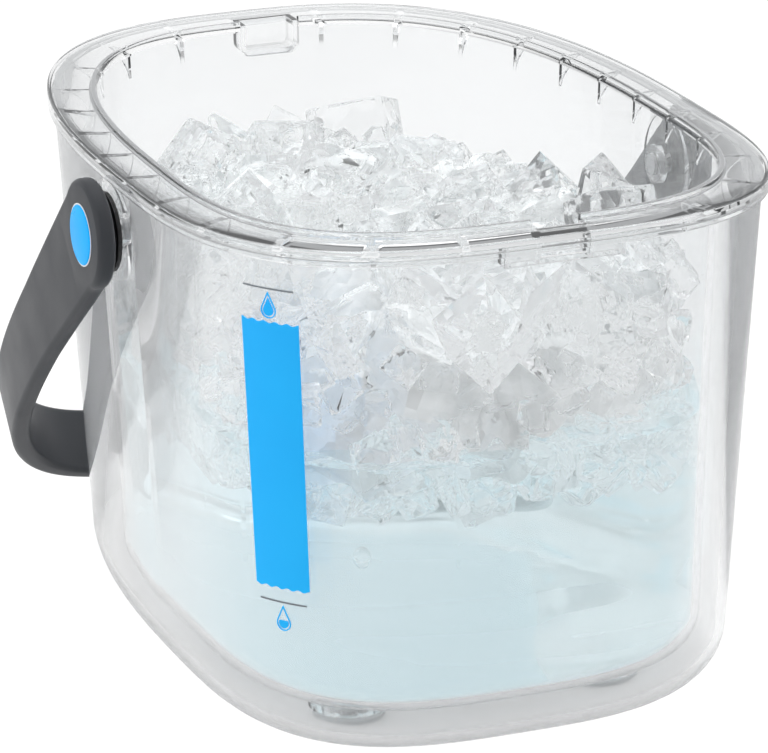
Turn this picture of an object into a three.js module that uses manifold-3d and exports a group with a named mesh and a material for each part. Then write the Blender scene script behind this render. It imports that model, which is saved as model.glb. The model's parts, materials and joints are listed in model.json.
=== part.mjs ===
// Open clear reservoir of a hot cold therapy machine, with its carrying handle, ice and water.
// Lengths are in millimetres. +Z is up, -Y is the front, and X runs along the handle's pivot axis.
// The origin is the middle of the tank's flat underside.
import * as THREE from "three";
import { ConvexGeometry } from "three/addons/geometries/ConvexGeometry.js";
import { mergeVertices } from "three/addons/utils/BufferGeometryUtils.js";
import Module from "manifold-3d";

const wasm = await Module();
wasm.setup();

// Tank: overall size and the outline of the rim seen from above
const tank_height = 161;
const rim_half_width = 93;
const rim_front_reach = 128;
const rim_back_reach = 135;
const widest_y = -25;
const front_squareness = 3.07;
const back_squareness = 2.69;
const outline_steps = 52;

// Outer wall
const outer_wall = 2.4;
const outer_floor = 3;
const outer_inset = 1.9;
const outer_draft_share = 0.06;
const base_fillet = 21;
const fillet_steps = 4;

// Inner wall with its flange
const rim_side_width = 13.5;
const rim_front_width = 13.5;
const rim_back_width = 19;
const liner_wall = 2.2;
const liner_floor = 2.5;
const liner_draft_share = 0.04;
const liner_fillet = 15;
const floor_gap = 7.5;
const flange_thickness = 2.2;
const skirt_thickness = 1.4;
const skirt_height = 5;
const edge_round = 0.7;
const lip_height = 1.2;
const lip_width = 1.6;

// Rim gasket, gussets, lid latch seat and lid hinge keeper
const seat_gap = 0.3;
const seal_thickness = 1;
const seal_width = 2.2;
const gusset_count = 28;
const gusset_thickness = 1.4;
const gusset_height = 9;
const gusset_hollow_share = 0.33;
const gusset_steps = 2;
const lid_line_x = 6;
const catch_depth = 5;
const catch_wall = 1.3;
const catch_bar = 1.6;
const catch_post_width = 11;
const catch_post_height = 7.5;
const notch_width = 15;
const notch_depth = 5.5;
const keeper_width = 19;
const keeper_height = 10;
const keeper_depth = 8;
const keeper_wall = 1.5;
const keeper_corner = 3;
const keeper_steps = 3;

// Handle pivots, from the tank outwards
const pivot_y = -10.7;
const pivot_drop = 21.3;
const pad_radius = 15;
const pad_face_inset = 1.6;
const washer_radius = 12;
const washer_thickness = 1.2;
const collar_radius = 10.5;
const collar_thickness = 1.4;
const pin_radius = 3.2;
const pin_clearance = 0.3;
const pin_head_radius = 6;
const pin_head_thickness = 1.5;
const nut_radius = 6;
const nut_thickness = 2.4;
const pin_tail = 0.8;
const bush_wall = 2;
const cap_radius = 9;
const cap_thickness = 1.5;
const cap_proud = 0.5;
const cap_chamfer = 0.4;
const pivot_steps = 24;

// Handle
const rest_angle = 50;
const grip_tuck = 1.06;
const handle_thickness = 5.6;
const handle_squareness = 4.1;
const eye_radius = 16.6;
const arm_half_width = 13;
const grip_half_width = 11.2;
const arm_end_share = 0.35;
const grip_start_share = 0.85;
const handle_round = 1.8;
const handle_round_steps = 2;
const handle_steps = 32;

// Feet and floor spacers
const foot_side_inset = 52;
const foot_front_inset = 58;
const foot_back_inset = 75;
const foot_radius = 11;
const foot_thickness = 2;
const foot_stem_radius = 3.8;
const foot_barb = 1.3;
const foot_barb_height = 2.2;
const spacer_radius = 12;
const spacer_bore = 7;
const spacer_step = 2.2;
const foot_steps = 18;

// Contents
const water_drop = 71;
const ice_draft = 22;
const ice_core_drop = 35;
const ice_core_inset = 7;
const ice_size = 23;
const ice_least_share = 0.85;
const ice_spread_share = 0.3;
const ice_lift_share = 0.6;
const ice_layer_sink = 6;
const ice_pitch = 26;
const scatter_turn_share = 12.9898;
const scatter_gain_share = 43758.5453;

// Water level graphic on the front left corner
const film_gap = 0.3;
const film_thickness = 0.35;
const strip_width = 18.4;
const strip_bottom = 55;
const strip_top_drop = 24;
const strip_wave = 0.6;
const strip_wave_count = 5;
const strip_wave_steps = 4;
const graphic_angle = 222.3;
const mark_width = 16;
const mark_height = 0.6;
const mark_steps = 6;
const lower_mark_drop = 4.8;
const drop_height = 8;
const drop_width = 4.8;
const drop_steps = 12;
const graphic_gap = 0.6;

// One overrun serves all cuts, and one weld all joins.
const overrun = 1;
const weld = 0.5;
const merge_distance = 0.0001;

// Sizes that follow
const well_half_width = rim_half_width - rim_side_width;
const well_front_reach = rim_front_reach - rim_front_width;
const well_back_reach = rim_back_reach - rim_back_width;
const rim_shape = { half_width: rim_half_width, front: rim_front_reach, back: rim_back_reach };
const well_shape = { half_width: well_half_width, front: well_front_reach, back: well_back_reach };
const flange_underside = tank_height - flange_thickness;
const outer_top = flange_underside - seat_gap - seal_thickness - seat_gap;
const liner_underside = outer_floor + floor_gap;
const gusset_depth = rim_side_width - liner_wall - outer_inset - outer_wall - 2 * seat_gap;
const catch_bar_top = flange_underside - seat_gap - catch_post_height + catch_bar;
const keeper_back_y = well_back_reach - well_inset(flange_underside) + keeper_depth;
const pivot_z = tank_height - pivot_drop;
const pad_face_x = rim_half_width - pad_face_inset;
const arm_inner_x = pad_face_x + washer_thickness + collar_thickness + 3 * seat_gap;
const arm_outer_x = arm_inner_x + handle_thickness;
const cap_recess_x = arm_outer_x + cap_proud - cap_thickness - seat_gap;
const head_recess_x = cap_recess_x - seat_gap - pin_head_thickness;
const pin_hole_radius = pin_radius + pin_clearance;
const bush_radius = pin_hole_radius + bush_wall;
const water_level = tank_height - water_drop;
const ice_bottom = water_level - ice_draft;
const ice_core_top = tank_height - ice_core_drop;
const ice_layer_z = ice_core_top - ice_layer_sink;
const strip_top = tank_height - strip_top_drop;
const upper_drop_z = strip_top + strip_wave + graphic_gap + drop_width / 2;
const upper_mark_z = upper_drop_z + drop_height - drop_width / 2 + graphic_gap;
const lower_mark_z = strip_bottom - lower_mark_drop;
const lower_drop_z = lower_mark_z - graphic_gap - drop_height + drop_width / 2;
const full_turn = 2 * Math.PI;
const lean = THREE.MathUtils.degToRad(rest_angle);
const handle_reach = resting_reach() + handle_thickness;

// Outlines

// Two half superellipses that meet at the widest station, drawn in by inset.
function outline_point(shape, angle, inset) {
  const cosine = Math.cos(angle);
  const sine = Math.sin(angle);
  const squareness = sine > 0 ? back_squareness : front_squareness;
  const reach = sine > 0 ? shape.back - widest_y : shape.front + widest_y;
  const sum = Math.abs(cosine) ** squareness + Math.abs(sine) ** squareness;
  const radius = sum ** (-1 / squareness);
  const x = (shape.half_width - inset) * radius * cosine;
  const y = widest_y + (reach - inset) * radius * sine;
  return new THREE.Vector2(x, y);
}

function outer_wall_inset(z) {
  return outer_inset + outer_draft_share * (outer_top - z);
}

function well_inset(z) {
  return liner_draft_share * (tank_height - z);
}

// The outline's point at an angle and height on the outer wall, moved outwards by stand_off.
function outer_face_point(angle, z, stand_off) {
  const inset = outer_wall_inset(z);
  const here = outline_point(rim_shape, angle, inset);
  const normal = outline_normal(rim_shape, angle, inset);
  return new THREE.Vector3(here.x + normal.x * stand_off, here.y + normal.y * stand_off, z);
}

function outline_normal(shape, angle, inset) {
  const step = full_turn / (outline_steps * outline_steps);
  const after = outline_point(shape, angle + step, inset);
  const before = outline_point(shape, angle - step, inset);
  const tangent = after.sub(before).normalize();
  return new THREE.Vector2(tangent.y, -tangent.x);
}

// Angles that divide an outline into equal lengths, the first at the middle of the back.
function even_angles(shape, inset, count) {
  const fine = outline_steps * outline_steps;
  const lengths = [0];
  let last = outline_point(shape, full_turn / 4, inset);
  for (let i = 1; i <= fine; i += 1) {
    const here = outline_point(shape, full_turn / 4 + (full_turn * i) / fine, inset);
    lengths.push(lengths[i - 1] + here.distanceTo(last));
    last = here;
  }
  const angles = [];
  for (let k = 0; k < count; k += 1) {
    const target = (lengths[fine] * k) / count;
    const i = lengths.findIndex((length) => length >= target);
    angles.push(full_turn / 4 + (full_turn * i) / fine);
  }
  return angles;
}

// Solids

function geometry_from(points, indices) {
  const geometry = new THREE.BufferGeometry();
  geometry.setAttribute("position", new THREE.Float32BufferAttribute(points, 3));
  geometry.setIndex(indices);
  return geometry;
}

// A loft through outlines, each row a shape, an inset and a height. A cup's rows run up its
// outside and down its inside, and both ends close on a centre point. A ring's rows go round.
function loft(rows, is_ring) {
  const points = [];
  const indices = [];
  for (const row of rows) {
    for (let j = 0; j < outline_steps; j += 1) {
      const point = outline_point(row.shape, (full_turn * j) / outline_steps, row.inset);
      points.push(point.x, point.y, row.z);
    }
  }
  const bands = is_ring ? rows.length : rows.length - 1;
  for (let i = 0; i < bands; i += 1) {
    const lower = i * outline_steps;
    const upper = ((i + 1) % rows.length) * outline_steps;
    for (let j = 0; j < outline_steps; j += 1) {
      const next = (j + 1) % outline_steps;
      indices.push(lower + j, lower + next, upper + next);
      indices.push(lower + j, upper + next, upper + j);
    }
  }
  if (!is_ring) {
    const first = rows.length * outline_steps;
    const top = (rows.length - 1) * outline_steps;
    points.push(0, widest_y, rows[0].z, 0, widest_y, rows[rows.length - 1].z);
    for (let j = 0; j < outline_steps; j += 1) {
      const next = (j + 1) % outline_steps;
      indices.push(first, next, j);
      indices.push(first + 1, top + j, top + next);
    }
  }
  return geometry_from(points, indices);
}

// Rows of a rounded lower edge, from the floor out to the wall: a quarter ellipse.
function fillet_rows(shape, wall_inset, centre_z, across, down) {
  const rows = [];
  for (let k = 0; k <= fillet_steps; k += 1) {
    const angle = (Math.PI / 2) * (k / fillet_steps);
    const inset = wall_inset + across * (1 - Math.sin(angle));
    rows.push({ shape, inset, z: centre_z - down * Math.cos(angle) });
  }
  return rows;
}

function to_solid(geometry) {
  const bare = geometry.clone();
  bare.deleteAttribute("normal");
  bare.deleteAttribute("uv");
  const merged = mergeVertices(bare, merge_distance);
  const mesh = new wasm.Mesh({
    numProp: 3,
    vertProperties: new Float32Array(merged.attributes.position.array),
    triVerts: new Uint32Array(merged.index.array),
  });
  return new wasm.Manifold(mesh);
}

function to_geometry(solid) {
  const mesh = solid.getMesh();
  return geometry_from(Array.from(mesh.vertProperties), Array.from(mesh.triVerts));
}

function add(first, ...others) {
  return to_geometry(others.reduce((sum, other) => sum.add(to_solid(other)), to_solid(first)));
}

function cut(first, ...others) {
  return to_geometry(others.reduce((rest, other) => rest.subtract(to_solid(other)), to_solid(first)));
}

function common(first, second) {
  return to_geometry(to_solid(first).intersect(to_solid(second)));
}

// A box from its lowest and highest corners.
function box(x0, x1, y0, y1, z0, z1) {
  const geometry = new THREE.BoxGeometry(x1 - x0, y1 - y0, z1 - z0);
  return geometry.translate((x0 + x1) / 2, (y0 + y1) / 2, (z0 + z1) / 2);
}

// A solid of revolution about the pivot axis, from [radius, x] pairs, on one side of the tank.
function turned_on_pivot(profile, side) {
  const points = profile.map(([radius, x]) => new THREE.Vector2(radius, x));
  const geometry = new THREE.LatheGeometry(points, pivot_steps);
  geometry.rotateZ(-side * (Math.PI / 2));
  return geometry.translate(0, pivot_y, pivot_z);
}

function disc_profile(radius, x0, x1, chamfer) {
  return [[0, x0], [radius, x0], [radius, x1 - chamfer], [radius - chamfer, x1], [0, x1]];
}

function ring_profile(bore, radius, x0, x1) {
  return [[bore, x0], [radius, x0], [radius, x1], [bore, x1], [bore, x0]];
}

// A pocket's outline seen from the front: square at the top and rounded at the bottom corners.
function pocket_outline(width, top, bottom, corner) {
  const left = lid_line_x - width / 2;
  const right = lid_line_x + width / 2;
  const shape = new THREE.Shape();
  shape.moveTo(right, top);
  shape.lineTo(left, top);
  shape.absarc(left + corner, bottom + corner, corner, Math.PI, 1.5 * Math.PI);
  shape.absarc(right - corner, bottom + corner, corner, 1.5 * Math.PI, full_turn);
  return shape;
}

// Tank pieces

function outer_tank() {
  const side_inset = outer_wall_inset(base_fillet);
  const outside = fillet_rows(rim_shape, side_inset, base_fillet, base_fillet, base_fillet);
  const inner_across = base_fillet - outer_wall;
  const inner_down = base_fillet - outer_floor;
  const inner_inset = side_inset + outer_wall;
  const inside = fillet_rows(rim_shape, inner_inset, base_fillet, inner_across, inner_down);
  const shell = loft([
    ...outside,
    { shape: rim_shape, inset: outer_inset, z: outer_top },
    { shape: rim_shape, inset: outer_inset + outer_wall, z: outer_top },
    ...inside.reverse(),
  ]);
  const inner_face_x = rim_half_width - outer_wall_inset(pivot_z) - outer_wall;
  const pads = [-1, 1].map((side) =>
    turned_on_pivot(disc_profile(pad_radius, inner_face_x + weld, pad_face_x, 0), side));
  const bores = [-1, 1].map((side) =>
    turned_on_pivot(disc_profile(pin_hole_radius, well_half_width, pad_face_x + overrun, 0), side));
  const foot_holes = foot_places().map(([x, y]) => {
    const hole = new THREE.CylinderGeometry(1, 1, 1, foot_steps);
    hole.rotateX(Math.PI / 2);
    const radius = foot_stem_radius + seat_gap;
    hole.scale(radius, radius, outer_floor + 2 * overrun);
    return hole.translate(x, y, outer_floor / 2);
  });
  return cut(add(shell, ...pads), ...bores, ...foot_holes);
}

function gusset(angle) {
  const inset = well_inset(flange_underside) - liner_wall;
  const foot = outline_point(well_shape, angle, inset);
  const normal = outline_normal(well_shape, angle, inset);
  const profile = new THREE.Shape();
  profile.moveTo(-weld, weld);
  profile.lineTo(-weld, -gusset_height);
  profile.quadraticCurveTo(0, -gusset_height * gusset_hollow_share, gusset_depth, 0);
  profile.lineTo(gusset_depth, weld);
  const plate = new THREE.ExtrudeGeometry(profile, {
    depth: gusset_thickness,
    bevelEnabled: false,
    curveSegments: gusset_steps,
  });
  plate.translate(0, 0, -gusset_thickness / 2);
  const outwards = new THREE.Vector3(normal.x, normal.y, 0);
  const upwards = new THREE.Vector3(0, 0, 1);
  const along = new THREE.Vector3().crossVectors(outwards, upwards);
  const place = new THREE.Matrix4().makeBasis(outwards, upwards, along);
  place.setPosition(foot.x, foot.y, flange_underside);
  return plate.applyMatrix4(place);
}

// The gussets stand clear of the latch seat at the front and the keeper at the back.
function gusset_angles() {
  const angles = even_angles(well_shape, 0, gusset_count);
  const catch_width = notch_width + 2 * catch_post_width;
  return angles.filter((angle) => {
    const place = outline_point(well_shape, angle, 0);
    const keep_out = place.y > widest_y ? keeper_width : catch_width;
    return Math.abs(place.x - lid_line_x) > keep_out / 2 + 2 * gusset_thickness;
  });
}

function keeper_block(width, top, bottom, corner, y0, y1) {
  const block = new THREE.ExtrudeGeometry(pocket_outline(width, top, bottom, corner), {
    depth: y1 - y0,
    bevelEnabled: false,
    curveSegments: keeper_steps,
  });
  block.rotateX(Math.PI / 2);
  return block.translate(0, y1, 0);
}

function inner_tank() {
  const underside_inset = well_inset(liner_fillet + liner_underside);
  const centre_z = liner_underside + liner_fillet;
  const outside = fillet_rows(
    well_shape, underside_inset - liner_wall, centre_z, liner_fillet, liner_fillet);
  const inside = fillet_rows(
    well_shape, underside_inset, centre_z, liner_fillet - liner_wall, liner_fillet - liner_floor);
  const flange_inset = well_inset(flange_underside);
  const shell = loft([
    ...outside,
    { shape: well_shape, inset: flange_inset - liner_wall, z: flange_underside },
    { shape: rim_shape, inset: skirt_thickness, z: flange_underside },
    { shape: rim_shape, inset: skirt_thickness, z: tank_height - skirt_height },
    { shape: rim_shape, inset: 0, z: tank_height - skirt_height },
    { shape: rim_shape, inset: 0, z: tank_height - edge_round },
    { shape: rim_shape, inset: edge_round, z: tank_height },
    { shape: well_shape, inset: -lip_width, z: tank_height },
    { shape: well_shape, inset: -lip_width, z: tank_height + lip_height },
    { shape: well_shape, inset: 0, z: tank_height + lip_height },
    ...inside.reverse(),
  ]);
  const ribbed = add(shell, ...gusset_angles().map(gusset));
  const above = tank_height + lip_height + overrun;
  const notch = box(
    lid_line_x - notch_width / 2, lid_line_x + notch_width / 2,
    -well_front_reach - notch_depth, -well_front_reach + liner_fillet, catch_bar_top, above);
  const window = keeper_block(
    keeper_width + 2 * seat_gap, above, tank_height - keeper_height - seat_gap,
    keeper_corner + seat_gap, well_back_reach - liner_fillet, keeper_back_y + seat_gap);
  return cut(ribbed, notch, window);
}

function rim_seal() {
  const outer = outer_inset;
  const inner = outer_inset + seal_width;
  const low = outer_top + seat_gap;
  const high = low + seal_thickness;
  return loft([
    { shape: rim_shape, inset: inner, z: low },
    { shape: rim_shape, inset: outer, z: low },
    { shape: rim_shape, inset: outer, z: high },
    { shape: rim_shape, inset: inner, z: high },
  ], true);
}

// Two hollow posts under the flange, either side of the notch, and the bar that the latch hooks.
function front_catch() {
  const back_y = -well_front_reach - liner_wall - seat_gap;
  const front_y = back_y - catch_depth;
  const top = flange_underside - seat_gap;
  const bottom = top - catch_post_height;
  const posts = [];
  const hollows = [];
  for (const side of [-1, 1]) {
    const middle = lid_line_x + (side * (notch_width + catch_post_width)) / 2;
    const half = catch_post_width / 2;
    const hollow_half = half - catch_wall;
    posts.push(box(middle - half, middle + half, front_y, back_y, bottom, top));
    hollows.push(box(
      middle - hollow_half, middle + hollow_half, front_y + catch_wall, back_y - catch_wall,
      bottom - overrun, top - catch_wall));
  }
  const reach = (notch_width + catch_wall) / 2;
  const bar = box(
    lid_line_x - reach, lid_line_x + reach, front_y, front_y + catch_bar, bottom, catch_bar_top);
  return cut(add(...posts, bar), ...hollows);
}

// A tray let into the rear wall, open at the top and to the inside, for the lid's hinge tongue.
function rear_keeper() {
  const mouth_y = keeper_back_y - keeper_depth;
  const bottom = tank_height - keeper_height;
  const body = keeper_block(
    keeper_width, tank_height, bottom, keeper_corner, mouth_y, keeper_back_y);
  const hollow = keeper_block(
    keeper_width - 2 * keeper_wall, tank_height + overrun, bottom + keeper_wall,
    keeper_corner - keeper_wall, mouth_y - overrun, keeper_back_y - keeper_wall);
  return cut(body, hollow);
}

function foot_places() {
  const x = rim_half_width - foot_side_inset;
  const front_y = foot_front_inset - rim_front_reach;
  const back_y = rim_back_reach - foot_back_inset;
  return [[-x, front_y], [x, front_y], [-x, back_y], [x, back_y]];
}

function turned_upright(profile, x, y) {
  const points = profile.map(([radius, z]) => new THREE.Vector2(radius, z));
  return new THREE.LatheGeometry(points, foot_steps).rotateX(Math.PI / 2).translate(x, y, 0);
}

// A rubber foot: a disc under the floor, and a stem with a barb that holds above it.
function foot(x, y) {
  const disc_top = -seat_gap;
  const disc_bottom = disc_top - foot_thickness;
  const barb_bottom = outer_floor + seat_gap;
  const barb_top = barb_bottom + foot_barb_height;
  return turned_upright([
    [0, disc_bottom],
    [foot_radius - edge_round, disc_bottom],
    [foot_radius, disc_bottom + edge_round],
    [foot_radius, disc_top],
    [foot_stem_radius, disc_top],
    [foot_stem_radius, barb_bottom],
    [foot_stem_radius + foot_barb, barb_bottom],
    [foot_stem_radius, barb_top],
    [0, barb_top],
  ], x, y);
}

// A stepped ring between the two floors, round each foot's stem.
function floor_spacer(x, y) {
  const low = outer_floor + seat_gap;
  const high = liner_underside - seat_gap;
  const middle = (low + high) / 2;
  return turned_upright([
    [spacer_bore, low],
    [spacer_radius, low],
    [spacer_radius, middle],
    [spacer_radius - spacer_step, middle],
    [spacer_radius - spacer_step, high],
    [spacer_bore, high],
    [spacer_bore, low],
  ], x, y);
}

// Handle

// The bail's inner reach with which its grip comes to rest against the back of the tank: the grip's
// lower edge tucks in past the line of the leaning wall, beside the rounded base.
function resting_reach() {
  const sine = Math.sin(lean);
  const cosine = Math.cos(lean);
  const wall_y = rim_back_reach - outer_wall_inset(pivot_z - grip_half_width * sine);
  const level_y = wall_y - grip_tuck - pivot_y + grip_half_width * cosine;
  return level_y / (sine + outer_draft_share * cosine);
}

// Half of the bail's width at a distance from the pivot.
function handle_half_width(distance) {
  const share = Math.min(distance / handle_reach, 1);
  if (share < arm_end_share) {
    const along = share / arm_end_share;
    return THREE.MathUtils.lerp(eye_radius - handle_round / 4, arm_half_width, along);
  }
  const along = (share - arm_end_share) / (grip_start_share - arm_end_share);
  return THREE.MathUtils.lerp(arm_half_width, grip_half_width, Math.min(along, 1));
}

// A point of the bail's bow: half a superellipse with its ends at the pivots.
function bow_point(angle, depth) {
  const across = arm_outer_x - depth;
  const reach = handle_reach - depth;
  const cosine = Math.cos(angle);
  const sine = Math.sin(angle);
  const sum = Math.abs(cosine) ** handle_squareness + Math.abs(sine) ** handle_squareness;
  const radius = sum ** (-1 / handle_squareness);
  return new THREE.Vector2(across * radius * cosine, reach * radius * sine);
}

// The band's section, a rounded rectangle: each point is a depth from the outer face and a width.
function section_points(half_width) {
  const points = [];
  const r = handle_round;
  const corners = [
    [handle_thickness - r, half_width - r, 0],
    [r, half_width - r, 1],
    [r, r - half_width, 2],
    [handle_thickness - r, r - half_width, 3],
  ];
  for (const [depth, width, quarter] of corners) {
    for (let k = 0; k <= handle_round_steps; k += 1) {
      const angle = (Math.PI / 2) * (quarter + k / handle_round_steps);
      points.push([depth + r * Math.cos(angle), width + r * Math.sin(angle)]);
    }
  }
  return points;
}

// The bail in its own plane: x across the tank, y along the arms, z across the band.
function handle_band() {
  const points = [];
  const indices = [];
  const count = section_points(grip_half_width).length;
  for (let i = 0; i <= handle_steps; i += 1) {
    const angle = (Math.PI * i) / handle_steps;
    const distance = bow_point(angle, 0).y;
    for (const [depth, width] of section_points(handle_half_width(distance))) {
      const place = bow_point(angle, depth);
      points.push(place.x, place.y, width);
    }
  }
  for (let i = 0; i < handle_steps; i += 1) {
    for (let j = 0; j < count; j += 1) {
      const a = i * count + j;
      const b = i * count + ((j + 1) % count);
      indices.push(a, b, b + count);
      indices.push(a, b + count, a + count);
    }
  }
  const last = handle_steps * count;
  for (let j = 1; j < count - 1; j += 1) {
    indices.push(0, j + 1, j);
    indices.push(last, last + j, last + j + 1);
  }
  return geometry_from(points, indices);
}

// Turns the bail's own plane to where it hangs at rest, behind the tank.
function hang(geometry) {
  const arms = new THREE.Vector3(0, Math.sin(lean), -Math.cos(lean));
  const across = new THREE.Vector3(1, 0, 0);
  const band = new THREE.Vector3().crossVectors(across, arms);
  const place = new THREE.Matrix4().makeBasis(across, arms, band);
  place.setPosition(0, pivot_y, pivot_z);
  return geometry.applyMatrix4(place);
}

function eye_profile() {
  const r = handle_round;
  const profile = [[0, arm_inner_x]];
  for (let k = 0; k <= handle_round_steps; k += 1) {
    const angle = (Math.PI / 2) * (k / handle_round_steps);
    profile.push([eye_radius - r + r * Math.sin(angle), arm_inner_x + r - r * Math.cos(angle)]);
  }
  for (let k = 0; k <= handle_round_steps; k += 1) {
    const angle = (Math.PI / 2) * (k / handle_round_steps);
    profile.push([eye_radius - r + r * Math.cos(angle), arm_outer_x - r + r * Math.sin(angle)]);
  }
  profile.push([0, arm_outer_x]);
  return profile;
}

function handle() {
  const band = hang(handle_band());
  const eyes = [-1, 1].map((side) => turned_on_pivot(eye_profile(), side));
  const cap_recess = disc_profile(cap_radius + seat_gap, cap_recess_x, arm_outer_x + overrun, 0);
  const head_recess = disc_profile(
    pin_head_radius + seat_gap, head_recess_x - seat_gap, cap_recess_x + overrun, 0);
  const bush_bore = disc_profile(bush_radius + seat_gap, arm_inner_x - overrun, arm_outer_x, 0);
  const recesses = [-1, 1].flatMap((side) =>
    [cap_recess, head_recess, bush_bore].map((profile) => turned_on_pivot(profile, side)));
  return cut(add(band, ...eyes), ...recesses);
}

// Pivot hardware, from the inside out

function pin(side) {
  const nut_inner_x = nut_outer_x() - nut_thickness;
  return turned_on_pivot([
    [0, nut_inner_x - pin_tail],
    [pin_radius, nut_inner_x - pin_tail],
    [pin_radius, head_recess_x],
    [pin_head_radius, head_recess_x],
    [pin_head_radius, head_recess_x + pin_head_thickness],
    [0, head_recess_x + pin_head_thickness],
  ], side);
}

// The nut bears on the outer wall from inside, where the wall leans in under it.
function nut_outer_x() {
  const low = pivot_z - nut_radius;
  return rim_half_width - outer_wall_inset(low) - outer_wall - seat_gap;
}

function nut(side) {
  const x1 = nut_outer_x();
  const profile = ring_profile(pin_hole_radius, nut_radius, x1 - nut_thickness, x1);
  return turned_on_pivot(profile, side);
}

function washer(side) {
  const x0 = pad_face_x + seat_gap;
  return turned_on_pivot(ring_profile(pin_hole_radius, washer_radius, x0, x0 + washer_thickness), side);
}

function collar(side) {
  const x0 = pad_face_x + 2 * seat_gap + washer_thickness;
  return turned_on_pivot(ring_profile(pin_hole_radius, collar_radius, x0, x0 + collar_thickness), side);
}

function bush(side) {
  const x1 = head_recess_x - seat_gap;
  return turned_on_pivot(ring_profile(pin_hole_radius, bush_radius, arm_inner_x, x1), side);
}

function cap(side) {
  const x0 = cap_recess_x + seat_gap;
  return turned_on_pivot(disc_profile(cap_radius, x0, x0 + cap_thickness, cap_chamfer), side);
}

// Contents

function well_space(low, high, gap) {
  const centre_z = liner_underside + liner_fillet;
  const wall = well_inset(centre_z) + gap;
  const across = liner_fillet - liner_wall;
  const down = liner_fillet - liner_floor - gap;
  const rows = low > centre_z
    ? [{ shape: well_shape, inset: well_inset(low) + gap, z: low }]
    : fillet_rows(well_shape, wall, centre_z, across, down);
  return loft([...rows, { shape: well_shape, inset: well_inset(high) + gap, z: high }]);
}

function ice_core(grow) {
  return loft([
    { shape: well_shape, inset: ice_core_inset + well_inset(ice_bottom) - grow, z: ice_bottom - grow },
    { shape: well_shape, inset: ice_core_inset + well_inset(ice_core_top) - grow, z: ice_core_top },
  ]);
}

// A fixed sequence of shares from 0 to 1 that looks irregular, so each build is the same.
function irregular(seed) {
  const value = Math.sin(seed * scatter_turn_share) * scatter_gain_share;
  return value - Math.floor(value);
}

// A tilted cube of ice, filled down to the core, so that the frozen heap holds no pockets.
function ice_cube(x, y, z, side, seed) {
  const turn = new THREE.Euler(
    irregular(seed + 0.1) * Math.PI, irregular(seed + 0.2) * Math.PI, irregular(seed + 0.3) * Math.PI);
  const base = ice_core_top - ice_size / 4;
  const points = [];
  for (const i of [-1, 1]) {
    for (const j of [-1, 1]) {
      for (const k of [-1, 1]) {
        const corner = new THREE.Vector3(i, j, k).multiplyScalar(side / 2).applyEuler(turn);
        corner.add(new THREE.Vector3(x, y, z));
        points.push(new THREE.Vector3(corner.x, corner.y, base));
        points.push(corner.setZ(Math.max(corner.z, base)));
      }
    }
  }
  return new ConvexGeometry(points);
}

// Cubes frozen together: a staggered layer of tilted cubes stands out of the core's top.
function ice_heap() {
  const cubes = [];
  const row_pitch = ice_pitch * Math.sqrt(0.75);
  const columns = Math.ceil(well_half_width / ice_pitch);
  const rows = Math.ceil((well_front_reach + well_back_reach) / (2 * row_pitch));
  for (let j = -rows; j <= rows; j += 1) {
    for (let i = -columns; i <= columns; i += 1) {
      const seed = 1 + (j + rows) * (2 * columns + 1) + i + columns;
      const shift = Math.abs(j % 2) * (ice_pitch / 2);
      const x = i * ice_pitch + shift;
      const y = j * row_pitch;
      const reach_share = Math.hypot(x / well_half_width, y / well_front_reach);
      if (reach_share < 1) {
        const lift = ice_size * ice_lift_share * (irregular(seed) - 0.5);
        const side = ice_size * (ice_least_share + ice_spread_share * irregular(seed + 0.5));
        cubes.push(ice_cube(x, y, ice_layer_z + lift, side, seed));
      }
    }
  }
  const limit = well_space(ice_bottom - overrun, tank_height, 2 * seat_gap);
  return common(add(ice_core(0), ...cubes), limit);
}

function water() {
  return cut(well_space(0, water_level, seat_gap), ice_core(seat_gap));
}

// Printed film

// A thin film that follows the outer wall. Each column gives its distance along the wall from
// the graphic's middle, and its lowest and highest point.
function film(columns) {
  const middle = THREE.MathUtils.degToRad(graphic_angle);
  const step = full_turn / (outline_steps * outline_steps);
  const inset = outer_wall_inset((strip_bottom + strip_top) / 2);
  const chord = outline_point(rim_shape, middle + step, inset);
  const length_per_angle = chord.distanceTo(outline_point(rim_shape, middle, inset)) / step;
  const points = [];
  const indices = [];
  for (const { along, low, high } of columns) {
    const angle = middle + along / length_per_angle;
    for (const [z, stand_off] of [
      [low, film_gap], [low, film_gap + film_thickness],
      [high, film_gap + film_thickness], [high, film_gap],
    ]) {
      const point = outer_face_point(angle, z, stand_off);
      points.push(point.x, point.y, point.z);
    }
  }
  for (let i = 0; i < columns.length - 1; i += 1) {
    for (let j = 0; j < 4; j += 1) {
      const a = 4 * i + j;
      const b = 4 * i + ((j + 1) % 4);
      indices.push(a, a + 4, b + 4);
      indices.push(a, b + 4, b);
    }
  }
  const last = 4 * (columns.length - 1);
  indices.push(0, 1, 2, 0, 2, 3);
  indices.push(last, last + 2, last + 1, last, last + 3, last + 2);
  return geometry_from(points, indices);
}

function level_strip() {
  const columns = [];
  const count = strip_wave_count * strip_wave_steps;
  for (let i = 0; i <= count; i += 1) {
    const wave = strip_wave * Math.cos((full_turn * strip_wave_count * i) / count);
    columns.push({
      along: strip_width * (i / count - 0.5),
      low: strip_bottom + wave,
      high: strip_top + wave,
    });
  }
  return film(columns);
}

function level_mark(z) {
  const columns = [];
  for (let i = 0; i <= mark_steps; i += 1) {
    columns.push({ along: mark_width * (i / mark_steps - 0.5), low: z, high: z + mark_height });
  }
  return film(columns);
}

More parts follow.
